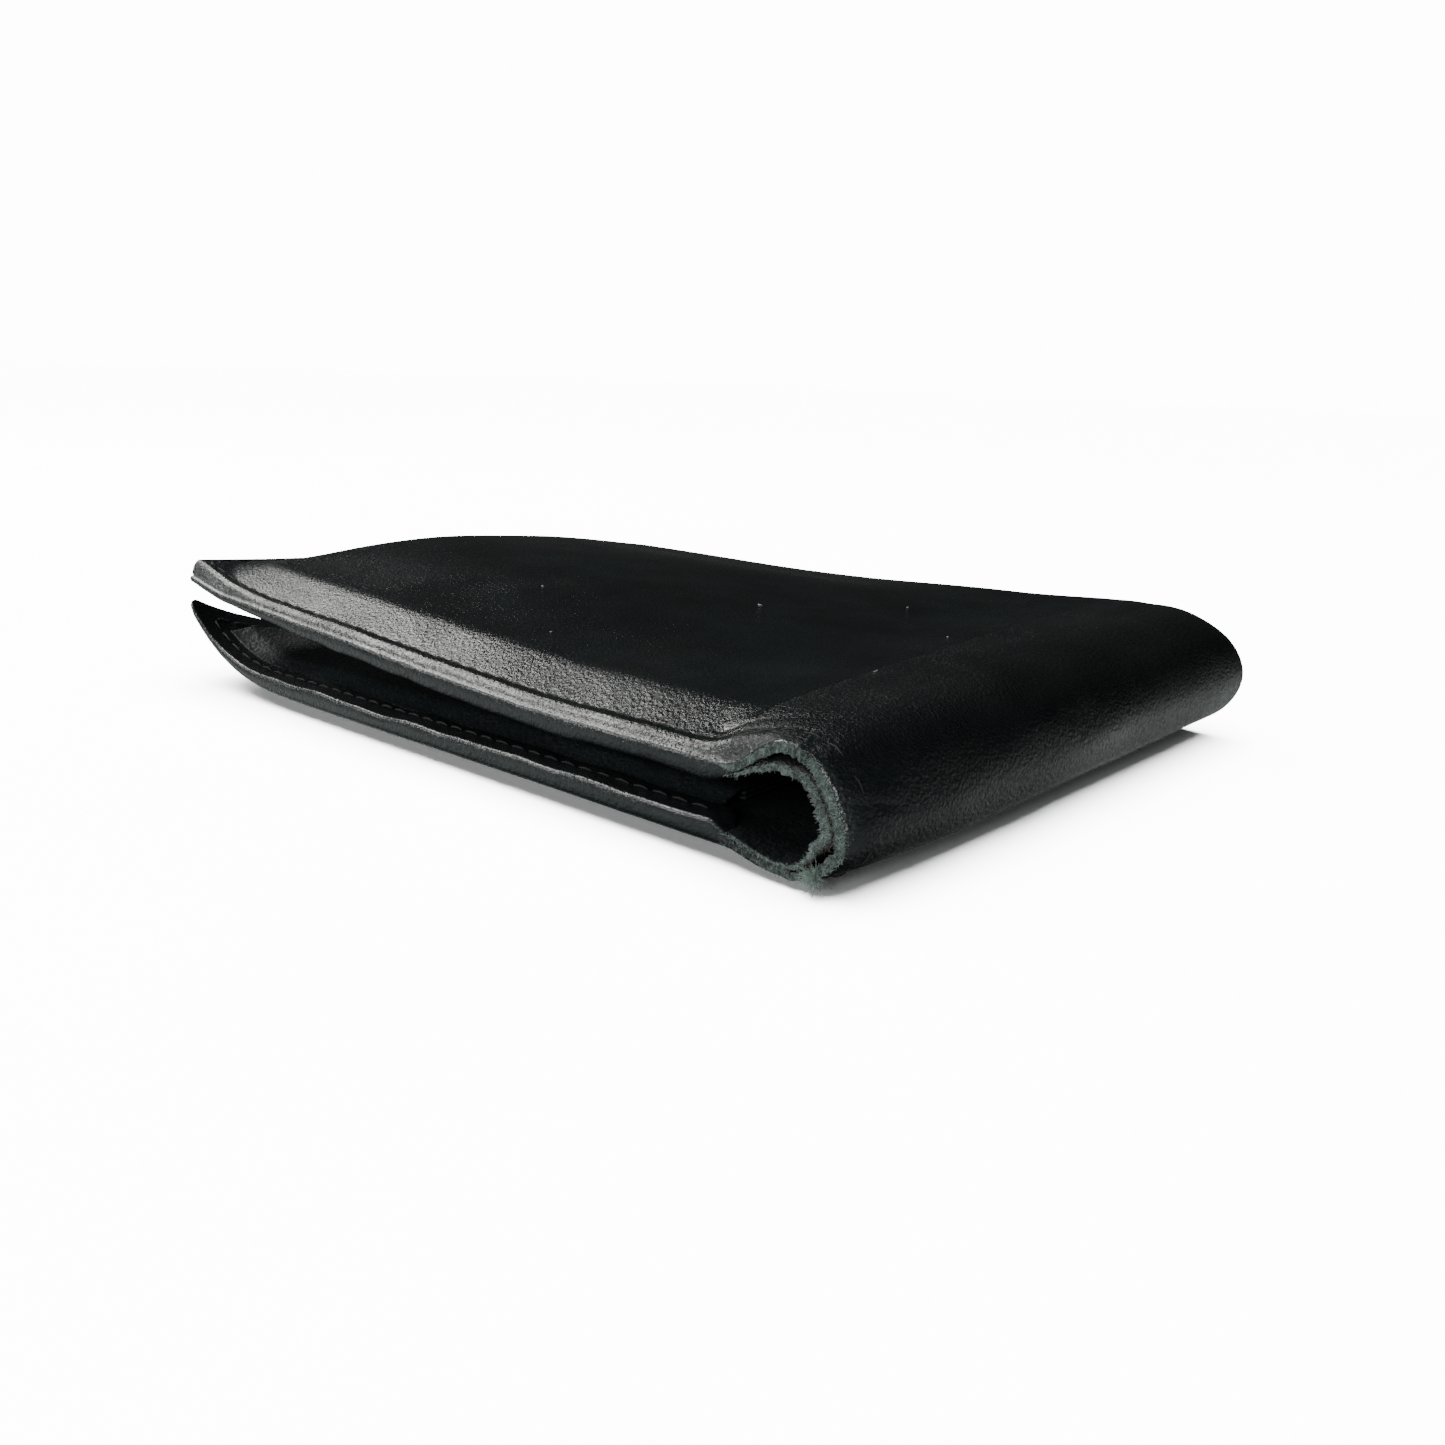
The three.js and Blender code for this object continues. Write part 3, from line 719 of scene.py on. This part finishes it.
def build_cover():
    """The whole cover. Rings of points carry its edge round the turned leather to the inner face."""
    rows = strip_rows(EDGE_ROUND, EDGE_ROUND)
    side, u, y = strip_grid(rows, EDGE_ROUND)
    outer = surface(side, u, y, 0.0)
    l_side, l_u, l_y = (loop_of(values) for values in (side, u, y))
    direction = outward(l_u, l_y)
    at_near = direction[1] < -0.9
    at_far = direction[1] > 0.9
    wrapped = np.where(at_near, wrapped_amount(l_u), 1.0)
    rng = np.random.default_rng(11)
    ragged = (1 - wrapped) * rng.uniform(-1, 1, len(l_u))
    ragged_fine = (1 - wrapped) * rng.uniform(-1, 1, len(l_u))

    wavy = 1 + 0.07 * waves(strip_place(l_side, l_u), l_y, 6, 22, seed=21)
    height = np.where(at_far, HEM, edge_height(l_side, l_u, l_y)) * wavy
    height = lerp(1.08 * at_rim(l_side, l_u, l_y, COVER_AT_RIM, SPINE_COVER), height, wrapped)
    # the bare fibre starts as a wedge: under the upper edge's ridge, and on top of the lower one's
    bare_part = smooth((l_u + pick(l_side, BARE_FROM)) / 5)
    turn = lerp(0.10, 0.32, wrapped) * height
    width = lerp(0.35, np.where(at_far, HEM_WIDTH, TURN_WIDTH), wrapped)
    cavity = lerp(RIM_CAVITY, np.where(at_far, HEM_CAVITY, TURN_CAVITY), wrapped)
    rounding = lerp(0.28, 0.55, wrapped) * np.minimum(1, height / 2)
    torn = 0.16 * ragged

    rings = []
    for angle in np.radians([30, 60, 90]):
        rings.append((EDGE_ROUND * (1 - np.sin(angle)) + torn * 0.5, rounding * (1 - np.cos(angle))))
    for part in (0.3, 0.5, 0.7):
        middle = lerp(rounding, height - rounding, part)
        rings.append((-0.05 * wrapped + torn + 0.16 * ragged_fine * part, middle))
    for angle in np.radians([0, 30, 60, 90]):
        level = height - rounding + rounding * np.sin(angle)
        rings.append((EDGE_ROUND * (1 - np.cos(angle)) * lerp(0.5, 1.0, wrapped) + torn * 0.5, level))
    for part in (0.2, 0.4, 0.6, 0.8, 1.0):
        dip = 0.06 * wrapped * math.sin(math.pi * part)
        rings.append((lerp(EDGE_ROUND, width, part), height - dip))
    rings.append((width + 0.1 * wrapped, height - 0.3 * turn))
    rings.append((width + 0.1 * wrapped, height - 0.75 * turn))
    rings.append((width - 0.1 * wrapped, height - turn))
    rings.append((lerp(width, cavity, 0.5), height - turn))
    rings.append((cavity, height - turn))

    ring_points = []
    ring_cut = []
    for number, (inset, depth) in enumerate(rings):
        inset = np.broadcast_to(inset, l_u.shape)
        at_u, at_y = inset_place(l_u, l_y, direction, inset)
        # the edge's thickness is measured from the border plane, with its band left out
        ring_points.append(surface(l_side, at_u, at_y, depth, 0.0))
        from_wedge = np.where(l_side > 0, bare_part * height - depth, depth - (1 - bare_part) * height)
        bare = smooth(0.5 + from_wedge / 0.6) * smooth((bare_part - 0.02) / 0.1)
        ring_cut.append(np.where(at_near, bare, 0.0) * min(1.0, number / 2))

    near_cavity = lerp(RIM_CAVITY, TURN_CAVITY, wrapped_amount(COLUMN_U))[:, None]
    inner_y = y + (near_cavity - EDGE_ROUND) * (1 - smooth((y - NEAR) / 7))
    inner_y = inner_y - (HEM_CAVITY - EDGE_ROUND) * (1 - smooth((FAR - y) / 4))
    inner_u = u + (TURN_CAVITY - EDGE_ROUND) * (1 - smooth((u - END) / 7))
    inner_u = np.where(u > 0, u, np.minimum(inner_u, 0))
    inner = surface(side, inner_u, inner_y, cover_thickness(side, inner_u, inner_y))

    points, faces, part, place = closed_sheet(outer, ring_points, inner)
    inside = inside_line(np.minimum(u, 0), y, 0, 2)
    wear_outer = 0.9 * bump_line(np.minimum(inside, FAR - y) - 0.3, 0.6)
    wear_outer = np.maximum(wear_outer, 0.55 * bump_line(y - NEAR, 2.2) * smooth((u + 12) / 8))
    grain_outer = lerp(0.45, 1.0, smooth((inside - 2.2) / 1.5))
    grain_outer = np.where(u > -INTO_SPINE, 1.0, grain_outer)
    size, ring_size = u.size, len(rings) * len(l_u)
    wear = np.concatenate([wear_outer.ravel(), np.full(ring_size, 0.25), np.zeros(size)])
    grain = np.concatenate([grain_outer.ravel(), np.full(ring_size, 0.35), np.ones(size)])
    cut = np.concatenate([np.zeros(size), *ring_cut, np.zeros(size)])
    return points, faces, part == INNER_FACE, place, {"wear": wear, "grain": grain, "cut": cut}


ZONE_NAMES = ("lower", "fold_low", "fold_high", "upper")
MIDDLE = len(COLUMN_U) // 2
EIGHTH = QUARTER_TURN // 2
ZONE_STARTS = (0, MIDDLE - EIGHTH, MIDDLE, MIDDLE + EIGHTH, len(COLUMN_U) - 1)


def bend(piece):
    """Bakes the piece's transform into its mesh."""
    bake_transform(piece)


def add_strip(name, materials, built, replaced):
    """Cuts a strip that goes round the fold into four pieces, one for each hinge."""
    points, faces, kind, place, marks = built
    first, faces, source = merged(points, faces)
    points, kind, place = points[first], kind[source], place[source]
    marks = {mark: values[first] for mark, values in marks.items()}
    faces = facing_out(points, faces)
    normals = vertex_normals(points, faces)
    for zone, zone_name in enumerate(ZONE_NAMES):
        inside = (place >= ZONE_STARTS[zone]) & (place < ZONE_STARTS[zone + 1])
        used, chosen = np.unique(faces[inside], return_inverse=True)
        chosen = chosen.reshape(-1, 4)
        on_piece = {mark: values[used] for mark, values in marks.items()}
        piece = add_piece(
            f"{name}_{zone_name}", points[used], chosen, materials, kind[inside], normals[used], on_piece
        )
        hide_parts(*replaced[zone])
        bend(piece)


def strip_nodes(in_fold, in_half):
    """The CAD nodes that each of a strip's four pieces replaces."""
    spine = [f"{in_fold}_{number}" for number in (1, 2, 3)]
    lower, upper = ([f"{half}_{part}" for part in in_half] for half in ("lower", "upper"))
    return lower, spine[:2], spine[1:], upper


COVER_PARTS = ("cover", "near_edge_turn", "open_edge_turn", "bill_hem")
COVER_NODES = strip_nodes("spine_leather", COVER_PARTS)
add_strip("cover", [COVER_LEATHER, FLESH_SIDE], build_cover(), COVER_NODES)


# --- The divider: the inner leather, which also goes round the fold ---


def divider_depths(side, u, y):
    """Depths of the divider's outer and inner face."""
    n = nearness(y)
    height = edge_height(side, u, y)
    into = into_spine(np.minimum(u, 0))
    cover = at_rim(side, u, y, COVER_AT_RIM, SPINE_COVER)
    slit = at_rim(side, u, y, SLIT_AT_RIM, lerp(1.3, SLIT, smooth(2.2 * n - 1.0)))
    first = lerp(0.49 * height, cover + slit, into)
    thick = at_rim(side, u, y, DIVIDER_AT_RIM, lerp(0.8, SPINE_DIVIDER, n))
    thick = lerp(0.17 * height, thick, into)
    return first, first + thick


def build_divider():
    rows = strip_rows(0.2, 2.2)
    side, u, y = strip_grid(rows, DIVIDER_INSET)
    # between the turned edges the divider starts further in than it does in the fold
    wrapped = wrapped_amount(COLUMN_U)[:, None]
    y = y + (1.1 * wrapped) * (1 - smooth((y - NEAR) / 4))
    first, last = divider_depths(side, u, y)
    outer = surface(side, u, y, first, 0.0)
    inner = surface(side, u, y, last, 0.0)
    l_side, l_u, l_y, l_first, l_last = (loop_of(values) for values in (side, u, y, first, last))
    direction = outward(l_u, l_y)
    cut_end = (direction[1] < -0.9) & (l_u > -BARE_FROM[LOWER])
    rng = np.random.default_rng(12)
    ring_points = []
    for part, out in ((0.15, 0.12), (0.4, 0.2), (0.65, 0.2), (0.9, 0.12)):
        depth = lerp(l_first, l_last, part)
        torn = np.where(cut_end, rng.uniform(-0.2, 0.2, len(l_u)), 0)
        at_u = l_u + direction[0] * out
        at_y = l_y + direction[1] * (out + torn)
        ring_points.append(surface(l_side, at_u, at_y, depth, 0.0))

    points, faces, part, place = closed_sheet(outer, ring_points, inner)
    grids = np.zeros(u.size)
    marks = {
        "wear": np.full(len(points), 0.15),
        "grain": np.ones(len(points)),
        "cut": np.concatenate([grids, np.tile(cut_end.astype(float), len(ring_points)), grids]),
    }
    return points, faces, part == OUTER_FACE, place, marks


DIVIDER_NODES = strip_nodes("spine_divider", ["divider"])
add_strip("divider", [INNER_LEATHER, FLESH_SIDE], build_divider(), DIVIDER_NODES)


# --- Sheets that belong to one half: lining and card pockets ---


def add_panel(name, material, side, u, y, outer, inner, replaced, raised):
    """A closed sheet over the stations u and y, between the depths outer(u, y) and inner(u, y)."""
    grid_u, grid_y = np.meshgrid(u, y, indexing="ij")
    first, last = outer(grid_u, grid_y), inner(grid_u, grid_y)
    loop_u, loop_y, top, bottom = (loop_of(values) for values in (grid_u, grid_y, first, last))
    out_u = np.where(loop_u <= u[0], -1.0, np.where(loop_u >= u[-1], 1.0, 0.0))
    out_y = np.where(loop_y <= y[0], -1.0, np.where(loop_y >= y[-1], 1.0, 0.0))
    rings = []
    for part, out in ((0.12, 0.1), (0.35, 0.17), (0.65, 0.17), (0.88, 0.1)):
        at_u, at_y = loop_u + out_u * out, loop_y + out_y * out
        rings.append(surface(side, at_u, at_y, lerp(top, bottom, part), raised))
    outer_face = surface(side, grid_u, grid_y, first, raised)
    inner_face = surface(side, grid_u, grid_y, last, raised)
    points, faces, _, _ = closed_sheet(outer_face, rings, inner_face)
    faces = facing_out(points, faces)
    marks = {"wear": np.full(len(points), 0.2), "grain": np.ones(len(points))}
    piece = add_piece(name, points, faces, [material], marks=marks)
    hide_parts(*replaced)
    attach(piece, HALF_NAME[side] + "_half")


def add_lining(side):
    half = HALF_NAME[side]
    u = stations(END + 11, -13.0, 1.5, END, 1.5)
    y = stations(NEAR + 11, FAR - HEM_WIDTH - 0.8, 1.5, NEAR, 1.5)

    def outer(at_u, at_y):
        return cover_thickness(side, at_u, at_y) + 0.05

    def inner(at_u, at_y):
        return outer(at_u, at_y) + LINING

    node = f"{half}_cover_lining"
    add_panel(f"{half}_lining", LINING_CLOTH, side, u, y, outer, inner, [node], 1.0)


def add_pocket(side, number):
    """A card pocket. Only the front one reaches the stitched edge; the others end under it."""
    front = number == len(POCKET_TOPS) - 1
    top = POCKET_TOPS[number]
    bottom = NEAR + (TURN_WIDTH + 0.25 if front else 9.0)
    u = stations(END + TURN_WIDTH + 0.3, POCKET_FOLD_END, 0.3, END + 8, 1.5)
    y = stations(bottom, top - 3, 0.3, bottom + 4, 1.5)
    y = np.concatenate([y[:-1], np.arange(top - 3, top + 0.01, 0.15)])

    def outer(at_u, at_y):
        under_edge = 0.7 * edge_height(side, at_u, at_y)
        stack = under_edge + number * (POCKET + 0.07)
        drop = (1 - smooth((at_y - NEAR - TURN_WIDTH) / 4)) if front else 0.0
        return lerp(stack, under_edge, drop) + 0.03

    def inner(at_u, at_y):
        seam = 0.13 * bump_line(top - 1.6 - at_y, 0.2)
        bulge = 0.06 * bump_line(top - 0.6 - at_y, 0.7)
        return outer(at_u, at_y) + POCKET - seam + bulge

    name = f"{HALF_NAME[side]}_card_pocket_{number + 1}"
    add_panel(name, INNER_LEATHER, side, u, y, outer, inner, [name], 0.0)


for half_side in (LOWER, UPPER):
    add_lining(half_side)
    for pocket_number in range(len(POCKET_TOPS)):
        add_pocket(half_side, pocket_number)


# --- Threads and fibres ---


def tubes(paths, radii, sides=5):
    """Closed tubes along paths (count, steps, 3) with radii (count, steps)."""
    count, steps, _ = paths.shape
    along = np.gradient(paths, axis=1)
    along = along / np.maximum(np.linalg.norm(along, axis=2), 1e-9)[:, :, None]
    aside = np.cross(along, np.array([0.31, 0.27, 0.91]))
    aside = aside / np.maximum(np.linalg.norm(aside, axis=2), 1e-9)[:, :, None]
    above = np.cross(along, aside)
    angles = 2 * math.pi * np.arange(sides) / sides
    ring = aside[:, :, None, :] * np.cos(angles)[:, None] + above[:, :, None, :] * np.sin(angles)[:, None]
    points = (paths[:, :, None, :] + ring * radii[:, :, None, None]).reshape(-1, 3)
    index = np.arange(count * steps * sides).reshape(count, steps, sides)
    after = np.roll(index, -1, axis=2)
    walls = np.stack([index[:, :-1], after[:, :-1], after[:, 1:], index[:, 1:]], axis=-1)
    faces = [walls.reshape(-1, 4)]
    for k in range(1, sides - 1, 2):
        corners = [0, k, k + 1, min(k + 2, sides - 1)]
        faces += [flipped(index[:, 0, corners]), index[:, -1, corners]]
    faces = np.concatenate(faces)
    return points, facing_out(points, faces)


STITCH = 2.1
STITCH_GAP = 0.8
STITCH_RADIUS = 0.14
STITCH_ARCH = 0.13


def add_stitches(name, side, route, depth, outside):
    """Stitches along a route of (u, y), on the face that lies at depth(u, y)."""
    u, y = route
    raised = 1.0 if outside else 0.0
    steps = np.linalg.norm(np.diff(surface(side, u, y, depth(u, y), raised), axis=0), axis=1)
    travelled = np.concatenate([[0], np.cumsum(steps)])
    starts = np.arange(STITCH_GAP, travelled[-1] - STITCH, STITCH + STITCH_GAP)
    part = np.linspace(0, 1, 7)
    at = starts[:, None] + part[None, :] * STITCH
    at_u = np.interp(at, travelled, u)
    at_y = np.interp(at, travelled, y)
    arch = STITCH_ARCH * np.sin(math.pi * part)[None, :]
    paths = surface(side, at_u, at_y, depth(at_u, at_y) + (-arch if outside else arch), raised)
    radii = np.broadcast_to(STITCH_RADIUS * (0.62 + 0.38 * np.sin(math.pi * part)), at.shape)
    piece = add_piece(name, *tubes(paths, radii, sides=6), [THREAD])
    bend(piece)
    return piece


def seam_route(inset, first_u, last_y):
    """From first_u along the stitched edge to the open end, then up to last_y."""
    corner = 0.9
    corner_u = END + inset + corner
    round_fold = np.linspace(first_u, 0, 20)[:-1] if first_u > 0 else np.array([])
    along = np.concatenate([round_fold, np.linspace(min(first_u, 0), corner_u, 90)])
    u = np.concatenate([along, np.full(60, END + inset)])
    y = np.concatenate([np.full(len(along), NEAR + inset), np.linspace(NEAR + inset + corner, last_y, 60)])
    return u, y


def on_cover(u, y):
    return np.full(u.shape, 0.03)


def on_lip(side):
    """The depth of a half's wrapped edge, as a function of the place."""
    return lambda u, y: edge_height(side, u, y) + 0.02


def sew(side):
    """The seam along a half's edge, its inner side on the wrapped edge, and its start in the fold."""
    half = HALF_NAME[side]
    seam_line = seam_route(CREASE_INSET, 0.48, FAR - 3)
    seam = add_stitches(f"{half}_seam_stitches", side, seam_line, on_cover, True)
    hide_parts(f"{half}_seam_thread")
    lip_line = seam_route(2.6, -WRAP_ENDS - 1.0, FAR - 6)
    add_stitches(f"{half}_inner_stitches", side, lip_line, on_lip(side), False)
    fold_line = (np.linspace(0.52, 0.98, 30), np.full(30, NEAR + CREASE_INSET))
    add_stitches(f"{half}_fold_stitches", side, fold_line, on_cover, True)


sew(LOWER)
sew(UPPER)


def loose_fibres(name, material, side, u, depth, length, thick, seed):
    """Fibres that stick out of the cut end of the fold, rooted at u and depth."""
    rng = np.random.default_rng(seed)
    count = len(u)
    root = surface(side, u, np.full(count, NEAR + 0.05), depth, 0.0)
    heading = rng.normal(0, 1, (count, 3)) * np.array([0.9, 0.35, 0.9]) + np.array([0, -0.62, 0])
    heading = heading / np.linalg.norm(heading, axis=1)[:, None]
    sag = rng.normal(0, 0.4, (count, 3))
    part = np.linspace(0, 1, 4)[None, :, None]
    reach = rng.uniform(*length, count)[:, None, None]
    paths = root[:, None, :] + reach * (heading[:, None, :] * part + sag[:, None, :] * part**2 * 0.6)
    paths[:, :, 2] = np.maximum(paths[:, :, 2], 0.06)
    radii = np.broadcast_to(thick * (1 - 0.65 * part[:, :, 0]), (count, 4))
    piece = add_piece(name, *tubes(paths, radii, sides=3), [material])
    bend(piece)


def fibre_places(zone, count, rng):
    """side and the u of fibres on one of the four pieces of the fold."""
    side = LOWER if zone < 2 else UPPER
    if zone in (1, 2):
        return side, rng.uniform(0.51, 0.99, count)
    flat = rng.uniform(-WRAP_ENDS + 2.5, 0, count)
    turned = rng.uniform(0, 0.5, count)
    return side, np.where(rng.uniform(0, 1, count) < 0.5, flat, turned)


RIM_FIBRES = 560  # on each of the four pieces
SLIT_THREADS = 50
TUFT_FIBRES = 170


def add_rim_fibres(zone):
    """Pale fibres on the cut edges of the cover and the divider, and brown threads between them."""
    rng = np.random.default_rng(31 + zone)
    side, u = fibre_places(zone, RIM_FIBRES, rng)
    edge_y = np.full(len(u), NEAR)
    divider_from, divider_to = divider_depths(side, u, edge_y)
    in_cover = rng.uniform(0, 1, len(u)) < 0.5
    through = rng.uniform(0.05, 0.85, len(u))
    in_divider = lerp(divider_from, divider_to, through)
    depth = np.where(in_cover, through * cover_thickness(side, u, edge_y), in_divider)
    name = ZONE_NAMES[zone]
    loose_fibres(f"rim_fibres_{name}", FIBRES, side, u, depth, (0.12, 0.5), 0.03, 41)
    u = u[:SLIT_THREADS]
    depth = divider_from[:SLIT_THREADS] - rng.uniform(0.0, 0.35, SLIT_THREADS)
    loose_fibres(f"slit_threads_{name}", BROWN_FIBRES, side, u, depth, (0.3, 1.1), 0.035, 51)


def add_tuft():
    """A tuft that hangs from the lower edge of the cut end."""
    rng = np.random.default_rng(61)
    u = rng.normal(0.33, 0.03, TUFT_FIBRES)
    depth = rng.uniform(0.0, 0.5, TUFT_FIBRES)
    loose_fibres("rim_tuft", FIBRES, LOWER, u, depth, (0.7, 1.9), 0.045, 62)


for zone_number in range(len(ZONE_NAMES)):
    add_rim_fibres(zone_number)
add_tuft()


# Lint on the upper cover: u, distance from the stitched edge, length and heading in degrees
LINT_SPECKS = (
    (-41.0, 47.0, 0.9, 20),
    (-12.0, 50.0, 0.5, 140),
    (-28.0, 66.0, 0.6, 75),
    (-66.0, 28.0, 0.5, 10),
    (-8.0, 27.0, 1.1, 100),
    (-50.0, 15.0, 0.4, 60),
)


def add_lint():
    paths = []
    for u, from_near, length, heading in LINT_SPECKS:
        part = np.linspace(-0.5, 0.5, 5)
        turned = math.radians(heading) + 0.9 * part
        at_u = u + length * part * np.cos(turned)
        at_y = NEAR + from_near + length * part * np.sin(turned)
        paths.append(surface(UPPER, at_u, at_y, -0.04, 1.0))
    paths = np.stack(paths)
    radii = np.broadcast_to(np.array([0.02, 0.06, 0.07, 0.05, 0.02]), paths.shape[:2])
    piece = add_piece("lint", *tubes(paths, radii), [LINT])
    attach(piece, "upper_half")


add_lint()


# --- Floor, light and camera ---

FLOOR_Z = -0.05
FLOOR_SIZE = 4.0  # metres from the wallet to its sides
FLOOR_SUN = 52.0
BACKDROP = 14.0  # the world's strength as the camera sees it
AIMED_AT = Vector((0.03, -0.02, 0.01))
# The world's strength for the wallet, by the height (-1 to 1) of the direction it comes from
GLOW = (
    (-0.65, 0.02),
    (-0.50, 0.30),
    (-0.36, 0.80),
    (-0.22, 1.15),
    (-0.04, 0.10),
    (0.05, 0.026),
    (1.0, 0.028),
)
GLOW_TINT = colour(0.93, 1.0, 0.98)


def add_floor():
    mesh = bpy.data.meshes.new("floor")
    corners = [(-1, -1), (1, -1), (1, 1), (-1, 1)]
    corners = [(x * FLOOR_SIZE, y * FLOOR_SIZE, FLOOR_Z * MM) for x, y in corners]
    mesh.from_pydata(corners, [], [(0, 1, 2, 3)])
    nodes = Nodes(bpy.data.materials.new("floor_paint"))
    paper = nodes.noise(nodes.add("ShaderNodeTexCoord").outputs["Object"], 0.05, detail=2.0)
    shade = nodes.mix(paper, colour(0.80, 0.80, 0.80), colour(0.83, 0.83, 0.83))
    mesh.materials.append(nodes.finish(Base_Color=shade, Roughness=0.95, Specular_IOR_Level=0.0))
    floor = add_object("floor", mesh)
    # the leather mirrors the world's even glow below the horizon in place of the floor
    floor.visible_glossy = False
    floor.visible_diffuse = False
    return floor


def softbox(name, towards, distance, size, power, tint):
    """An area light in the direction `towards` from the place that it is aimed at."""
    light = bpy.data.lights.new(name, "AREA")
    light.shape = "RECTANGLE"
    light.size, light.size_y = size
    light.energy = power
    light.color = tint
    lamp = add_object(name, light)
    lamp.location = AIMED_AT + Vector(towards).normalized() * distance
    lamp.rotation_mode = "QUATERNION"
    lamp.rotation_quaternion = (AIMED_AT - lamp.location).to_track_quat("-Z", "Y")


def add_world():
    """Pale to the camera. The leather mirrors a dim sky and the glow of the table beyond its shadow."""
    nodes = Nodes(bpy.data.worlds.new("studio"), "Background")
    seen = nodes.add("ShaderNodeLightPath").outputs["Is Camera Ray"]
    direction = nodes.add("ShaderNodeTexCoord").outputs["Generated"]
    height = nodes.add("ShaderNodeSeparateXYZ", {"Vector": direction}).outputs["Z"]
    glow = nodes.add("ShaderNodeValToRGB", {"Fac": nodes.between(height, -1.0, 1.0)})
    stops = glow.color_ramp.elements
    while len(stops) < len(GLOW):
        stops.new(0.5)
    for stop, (z, strength) in zip(stops, GLOW):
        stop.position = (z + 1) / 2
        stop.color = colour(strength, strength, strength)
    power = nodes.add("ShaderNodeMix", {"Factor": seen, "A": glow.outputs["Color"], "B": BACKDROP})
    tint = nodes.mix(seen, GLOW_TINT, colour(1.0, 1.0, 1.0))
    bpy.context.scene.world = nodes.finish(Strength=power.outputs["Result"], Color=tint)


def add_floor_sun(floor):
    """Lights only the floor, so that it stays pale and even while the leather stays dark."""
    light = bpy.data.lights.new("floor_light", "SUN")
    light.energy = FLOOR_SUN
    light.angle = math.radians(70)
    lamp = add_object("floor_light", light)
    only_floor = bpy.data.collections.new("lit_by_floor_light")
    only_floor.objects.link(floor)
    lamp.light_linking.receiver_collection = only_floor


# The photograph's place in millimetres from the fold, and its angles in radians, as found from the
# wallet's outline. The lens is for a sensor as wide as the picture.
CAMERA_PLACE = (68.638, -140.264, 49.118)
CAMERA_TURN = (-0.68657, 0.27091, 0.03802)
CAMERA_LENS, CAMERA_SENSOR = 31.456, 36.0


def add_camera():
    place = (Vector(CAMERA_PLACE) + Vector((FOLD_X, 0, 0))) * MM
    yaw, pitch, roll = CAMERA_TURN
    forward = Vector((math.sin(yaw) * math.cos(pitch), math.cos(yaw) * math.cos(pitch), -math.sin(pitch)))
    level = Vector((math.cos(yaw), -math.sin(yaw), 0))
    upright = level.cross(forward)
    right = level * math.cos(roll) + upright * math.sin(roll)
    up = upright * math.cos(roll) - level * math.sin(roll)
    lens = bpy.data.cameras.new("camera")
    lens.sensor_width = CAMERA_SENSOR
    lens.lens = CAMERA_LENS
    lens.clip_start = 0.005
    lens.clip_end = 50
    camera = add_object("camera", lens)
    camera.matrix_world = Matrix.Translation(place) @ Matrix((right, up, -forward)).transposed().to_4x4()
    bpy.context.scene.camera = camera


add_floor_sun(add_floor())
add_world()
softbox("key", (-0.71, -0.17, 0.66), 0.8, (0.52, 0.17), 6.8, (1.0, 0.99, 0.96))
softbox("front", (-0.64, -0.72, 0.30), 0.9, (0.40, 0.10), 2.5, (0.97, 1.0, 0.98))
softbox("fill", (0.25, -0.93, 0.30), 1.2, (0.4, 0.4), 10.0, (0.95, 1.0, 0.98))
add_camera()
